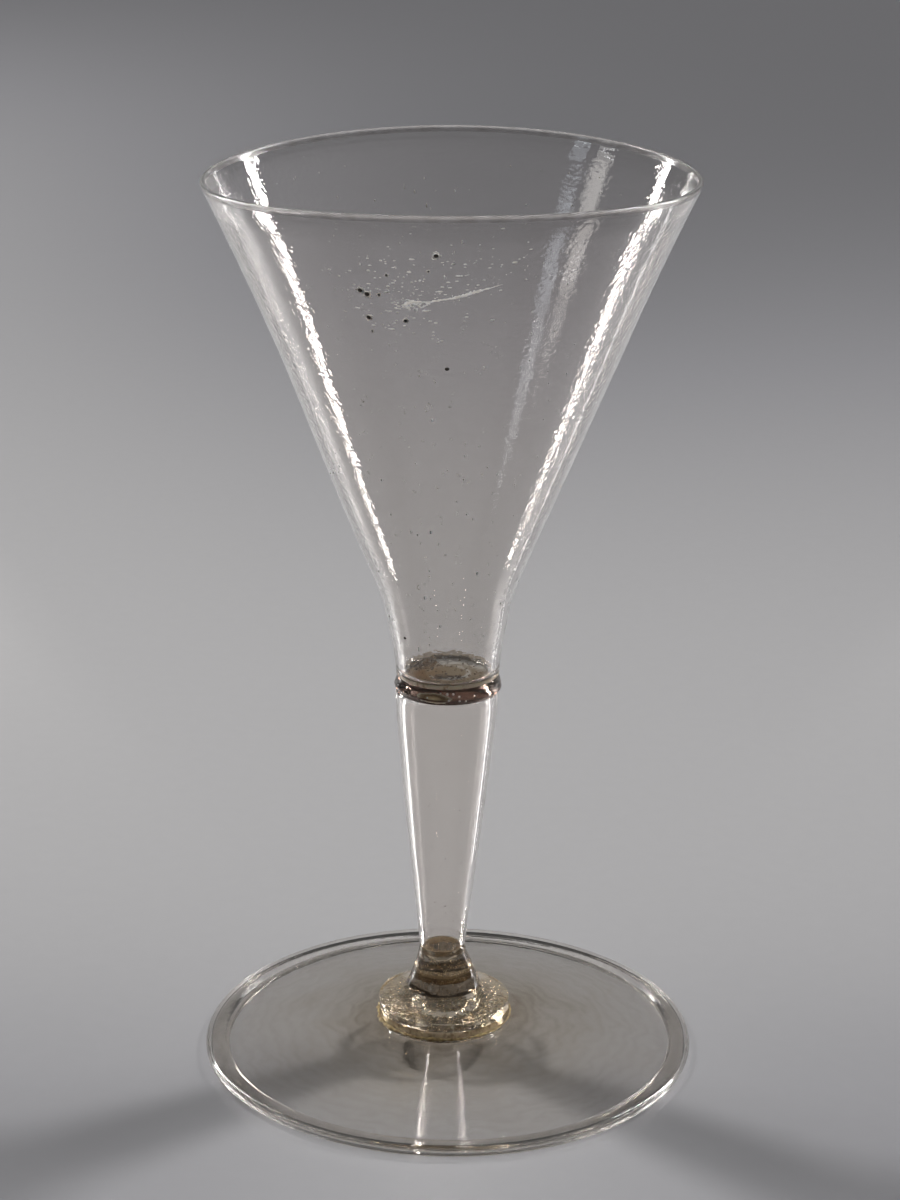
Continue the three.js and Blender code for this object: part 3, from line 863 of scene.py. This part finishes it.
inner_curve = np.stack([bowl_inner_radius, bowl_inner_height], axis=1)[above_floor]
rim_outer = np.array([bowl_outer[-1], bowl_levels[-1]])
rim_inner = inner_curve[-1]
rim_middle = (rim_outer + rim_inner) / 2
rim_turn = math.degrees(math.atan2(*(rim_outer - rim_inner)[::-1]))
rim_round = np.linalg.norm(rim_outer - rim_inner) / 2
bowl_profile = np.vstack([
    flat(COLLAR_DISH, 0.0, 8.9, 10),
    line((8.9, COLLAR_DISH), (9.45, COLLAR_TOP), 3),
    np.stack([bowl_outer, bowl_levels], axis=1)[:-1],
    arc(rim_middle, rim_round, rim_turn, rim_turn + 180.0, 14),
    inner_curve[::-1],
    bend(inner_curve[0], (8.35, 77.35), (6.6, 77.15), 14)[1:],
    bend((6.6, 77.15), (5.2, 77.08), (4.5, 77.05), 8),
    bend((4.5, 77.05), (3.95, 77.02), (3.7, 77.25), 6),
    bend((3.7, 77.25), (3.2, 77.5), (0.0, 77.55), 16),
    [(0.0, 77.55)],
])


def bowl_warp(radius, turn, height):
    """Leans the bowl, dips its rim by 1.7 mm times cos^2 of the turn, and makes its upper wall
    a quarter of a millimetre out of round."""
    rise = np.clip((height - 80.0) / 92.0, 0.0, 1.0)
    out = np.clip((height - 96.0) / 12.0, 0.0, 1.0)
    r = radius + out * rise * 0.24 * np.cos(2.0 * turn + 0.5)
    return placed(r, turn, height - 1.71 * np.cos(turn) ** 2 * rise**3 + 0.35 * rise**3, lean(height))


bowl_glass = clear_glass("bowl_glass", (0.958, 0.935, 0.918), 0.85, 0.35, 2.0e-5, 0.0010, (0.4, 0.4, 1.0))
tree = bowl_glass.node_tree
level = put(tree, "SeparateXYZ", "Z", Vector=put(tree, "TexCoord", "Object"))
upward = put(tree, "MapRange", "Result", Value=wandering(tree, level, 60.0, 3.0, 0.020),
             From_Min=0.095, From_Max=0.175)
thick_tint = ramp(tree, upward, (0.0, (0.885, 0.863, 0.843)), (0.5, (0.935, 0.913, 0.895)),
                  (0.85, (0.962, 0.939, 0.922)), (1.0, (0.958, 0.938, 0.925)))
body(tree, Base_Color=thick_tint, Sheen_Weight=0.36, Sheen_Roughness=0.35)
scored = put(tree, "Bump", "Normal", Height=noise(tree, 1150.0, 0.0, (1.0, 1.0, 1.2)), Distance=1.7e-5,
             Filter_Width=0.01)
wire(tree, tree.nodes["Bump"], Normal=scored)
base_glass = clear_glass("base_glass", (0.62, 0.52, 0.40), 0.50, 0.20, 8.0e-6, 0.0015)
joint_glass = cloudy_glass("joint_glass", (0.90, 0.76, 0.57), 0.50, 0.50, 0.20, 5.0)
rim_glass, tree = material("rim_glass")
worn = noise(tree, 400.0, 4.0)
body(tree, IOR=1.5, Transmission_Weight=0.86, Subsurface_Weight=1.0,
     Subsurface_Radius=(1.0, 1.0, 1.0), Subsurface_Scale=0.0012,
     Base_Color=ramp(tree, worn, (0.35, (0.78, 0.75, 0.73)), (0.65, (0.93, 0.91, 0.90))),
     Roughness=put(tree, "MapRange", "Result", Value=worn, To_Min=0.06, To_Max=0.22))
gather("bowl", bowl_profile, bowl_warp, WIDE_TURN, "bowl_glass",
       [bowl_glass, fused_face, base_glass, rim_glass, joint_glass],
       (1, 0.0, 9.45, COLLAR_DISH, COLLAR_TOP), (4, 9.44, 9.90, COLLAR_TOP, 77.91),
       (2, 0.0, 8.3, 77.01, 78.0), (3, 42.0, 45.5, 171.1, 173.0))


# Seeds in the bowl's wall: hundreds of pinpoint bubbles, drawn out upwards as the bowl was blown.
# They are scattered all round, thicker towards the rim, and every seventh is larger.
bowl_wall = (bowl_levels, bowl_outer, bowl_warp)
WALL_SEEDS = 620
seed_turn = rng.uniform(0.0, 360.0, WALL_SEEDS)
seed_height = 84.0 + 85.0 * rng.uniform(0.0, 1.0, WALL_SEEDS) ** 0.8
seed_half = rng.uniform(0.05, 0.12, (WALL_SEEDS, 3))
seed_half[:, 1] *= rng.uniform(1.0, 3.2, WALL_SEEDS)
seed_half[::7] *= 1.8
seed_grit = grit("seed_grit", (0.94, 0.92, 0.89), (0.99, 0.98, 0.96), 0.0010, 0.30, 1.0)
wall_marks("wall_seeds", bowl_wall, seed_turn, seed_height, 0.05, seed_half, seed_grit)


# Stones in the bowl's wall: eleven black grains of unmelted stuff, up to a millimetre wide. Most
# sit in one cluster high on the front, one lower down and one near the base at the left.
stone_turn = [-93.54, -113.61, -111.88, -108.66, -112.71, -102.41, -91.34, -135.41,
              -105.9, -95.5, -112.4]
stone_height = [165.18, 158.24, 157.61, 157.61, 153.18, 152.93, 143.83, 86.61, 161.4, 162.3, 150.6]
stone_wide = 1.25 * np.array([0.34, 0.36, 0.38, 0.20, 0.34, 0.26, 0.32, 0.26, 0.16, 0.14, 0.14])
stone_half = stone_wide[:, None] * [1.0, 0.9, 0.5]
wall_marks("wall_stones", bowl_wall, stone_turn, stone_height, 0.0, stone_half, dark_grit, 5, 12)


# Halos round the stones: pale orange half-melted glass, one flat flake behind each stone and nine
# smaller ones round its edge. The lower front stone and the one near the base have none.
HALO_FLAKES = 10
STONES = len(stone_wide)
halo_count = STONES * HALO_FLAKES
halo_step = rng.normal(0.0, 1.0, (halo_count, 2))
halo_step /= np.linalg.norm(halo_step, axis=1, keepdims=True)
halo_step *= rng.uniform(1.2, 1.9, (halo_count, 1))
halo_step[::HALO_FLAKES] = 0.0
halo_size = np.repeat(stone_wide, HALO_FLAKES)
halo_height = np.repeat(stone_height, HALO_FLAKES) + halo_step[:, 1] * halo_size * 0.9
halo_turn = np.repeat(stone_turn, HALO_FLAKES) + np.degrees(halo_step[:, 0] * halo_size / 40.0)
halo_half = 0.08 + 0.45 * halo_size[:, None] * rng.uniform(0.3, 1.0, (halo_count, 1))
halo_half = halo_half * [1.0, 0.7, 0.12]
halo_half[::HALO_FLAKES] = stone_wide[:, None] * [1.75, 1.5, 0.10]
kept = ~np.isin(np.repeat(np.arange(STONES), HALO_FLAKES), (6, 7))
halo_grit = grit("halo_grit", (0.90, 0.72, 0.58), (0.99, 0.92, 0.86), 0.0012, 0.5, 1.0)
wall_marks("stone_halos", bowl_wall, halo_turn[kept], halo_height[kept], 0.05, halo_half[kept], halo_grit)


# White patches on the bowl: weathered flakes of the skin, thin and uneven, strewn round the
# stones on the front. Every fourth is larger.
def strewn(*groups):
    """Random values in groups (count, middle, spread), each normally distributed."""
    return np.concatenate([rng.normal(middle, spread, count) for count, middle, spread in groups])


bloom_turn = strewn((150, -103.0, 6.5), (60, -82.0, 6.0), (60, -100.5, 2.0))
bloom_height = strewn((150, 157.5, 4.2), (60, 162.5, 3.2), (60, 156.0, 0.7))
bloom_half = rng.uniform(0.06, 0.23, (len(bloom_turn), 1)) * [1.0, 0.6, 0.15]
bloom_half[:, 0] *= rng.uniform(0.7, 1.9, len(bloom_turn))
bloom_half[::4] *= 1.7
pale_grit = grit("pale_grit", (0.72, 0.66, 0.58), (0.95, 0.92, 0.87), 0.0010, 0.35, 1.0)
wall_marks("wall_patches", bowl_wall, bloom_turn, bloom_height, 0.0, bloom_half, pale_grit)


# The streak in the bowl's wall: one white cord of unmelted glass that runs from the cluster of
# stones up to the right, thick and ragged at its left end and thin at its right.
STREAK_STEPS = 160
streak_t = np.linspace(0.0, 1.0, STREAK_STEPS)
streak_marks = [0.0, 0.1, 0.2, 0.3, 0.45, 0.6, 0.75, 0.88, 1.0]
streak_turn = np.interp(streak_t, streak_marks,
                        [-103.1, -100.5, -97.9, -95.4, -91.6, -87.9, -84.2, -80.7, -77.4])
streak_height = np.interp(streak_t, streak_marks,
                          [155.8, 156.4, 156.5, 156.6, 157.1, 157.6, 158.5, 159.1, 159.8])
streak_wide = np.interp(streak_t, [0.0, 0.06, 0.14, 0.22, 0.5, 0.72, 0.9, 1.0],
                        [0.02, 0.35, 0.48, 0.20, 0.22, 0.34, 0.16, 0.02])
ragged = np.repeat(rng.uniform(0.45, 1.35, (2, 54)), 3, axis=1)[:, :STREAK_STEPS]
streak_ring = np.array([[0.0, 1.0], [0.7, 0.6], [1.0, 0.0], [0.7, -0.6],
                        [0.0, -1.0], [-0.7, -0.6], [-1.0, 0.0], [-0.7, 0.6]])
sides = len(streak_ring)
centre, way, up, out = on_wall(bowl_wall, streak_turn, streak_height, 0.0)
streak_reach = streak_wide[:, None] * ragged[np.where(streak_ring[:, 0] > 0.0, 0, 1)].T
streak_points = (centre[:, None, :] + up[:, None, :] * (streak_reach * streak_ring[:, 0])[:, :, None]
                 + out[:, None, :] * (0.05 * streak_ring[:, 1])[None, :, None])
streak_ends = [list(range(sides)), list(range(STREAK_STEPS * sides))[:-sides - 1:-1]]
streak_mesh = meshed("wall_streak", streak_points.reshape(-1, 3) / 1000.0,
                     band_faces(STREAK_STEPS, sides, 0).tolist() + streak_ends, False)
stand("wall_streak", streak_mesh, [pale_grit])


# The film on the bowl's floor: dried dust and scale over the low boss inside the bowl. It is pale
# with a dark line along the front of the boss's ring and brownest at the left. A pale arc on the
# back of the boss's ring is a painted highlight, and the dark at the back, where the floor rises
# into the wall, is painted shade.
def floor_height(radius):
    """The height of the bowl's inner floor at a radius, in millimetres."""
    return np.interp(radius, [0.0, 2.0, 3.2, 3.7, 4.0, 4.5, 5.2, 6.6, 7.6, 8.2, 8.5],
                     [77.58, 77.55, 77.44, 77.28, 77.10, 77.08, 77.11, 77.2, 77.4, 77.9, 78.6])


FILM_RINGS = 43
FILM_SPOKES = 144
film_radius = np.linspace(0.0, 7.9, FILM_RINGS + 1)[1:, None]
film_height = floor_height(film_radius) + 0.02
film_rows = np.stack(bowl_warp(film_radius, turns(FILM_SPOKES)[None, :], film_height), axis=-1)
film_points = np.vstack([[[lean(77.6), 0.0, 77.6]], film_rows.reshape(-1, 3)])
film_x, film_y = film_points.T[:2]
film_reach = np.hypot(film_x + 0.4, film_y)
dirt_shade_and_highlight = 0.54 + 0.42 * hump(film_x, film_y, -5.0, -1.0, 3.4, 5.5)
dirt_shade_and_highlight -= 0.55 * np.exp(-(((film_reach - 3.9) / 0.35) ** 2)) * np.clip(-film_y / 2.5, 0.0, 1.0)
# A painted highlight: the pale arc on the back of the boss's ring.
dirt_shade_and_highlight -= 0.22 * np.exp(-(((film_reach - 4.0) / 0.50) ** 2)) * np.clip((film_y + 1.5) / 2.0, 0.0, 1.0)
# Painted shade: dark at the back, where the floor rises into the wall.
dirt_shade_and_highlight -= 0.5 * np.exp(-(((np.hypot(film_x, film_y) - 6.9) / 1.5) ** 2)) * np.clip(film_y / 5.0, 0.0, 1.0)
film_mesh = disc_sheet("floor_film", film_points / 1000.0, FILM_RINGS, FILM_SPOKES, "dirt_shade_and_highlight", dirt_shade_and_highlight)
film_dust_and_painted_light, tree = material("film_dust_and_painted_light")
# The film's colour: near black for dirt and painted shade, near white for the pale film and the painted
# highlight, then browns for dirt.
dust_and_painted_light = ramp(tree, wandering(tree, field(tree, "dirt_shade_and_highlight"), 900.0, 4.0, 0.16), (0.0, (0.08, 0.06, 0.04)),
            (0.40, (0.95, 0.91, 0.84)), (0.60, (0.42, 0.33, 0.21)), (1.0, (0.30, 0.17, 0.06)))
body(tree, Roughness=0.30, Base_Color=dust_and_painted_light)
stand("floor_film", film_mesh, [film_dust_and_painted_light])


# The residue on the bowl's floor: crumbs of dried brown dirt that lie on the film. Most are heaped
# at the back left and along the front, and a few lie anywhere.
STRAY_CRUMBS = 160
soot_x = strewn((330, -5.4, 1.6), (160, -0.6, 1.5), (250, -2.6, 2.4))
soot_x = np.append(soot_x, rng.uniform(-8.0, 8.0, STRAY_CRUMBS))
soot_y = strewn((330, 4.7, 1.5), (160, -2.9, 0.35), (250, -6.6, 0.8))
soot_y = np.append(soot_y, rng.uniform(-8.0, 8.0, STRAY_CRUMBS))
soot_radius = np.hypot(soot_x, soot_y)
on_floor = soot_radius < 7.7
soot_turn = np.arctan2(soot_y, soot_x)[on_floor]
soot_radius = soot_radius[on_floor]
soot_height = floor_height(soot_radius) + 0.05
soot_half = rng.uniform(0.08, 0.27, (len(soot_turn), 1)) * [1.3, 0.45, 1.0]
brown_dirt = grit("brown_dirt", (0.030, 0.017, 0.008), (0.30, 0.20, 0.11), 0.0012, 0.7, 0.2)
level_marks("floor_residue", bowl_warp, soot_radius, soot_turn, soot_height, soot_half, brown_dirt)
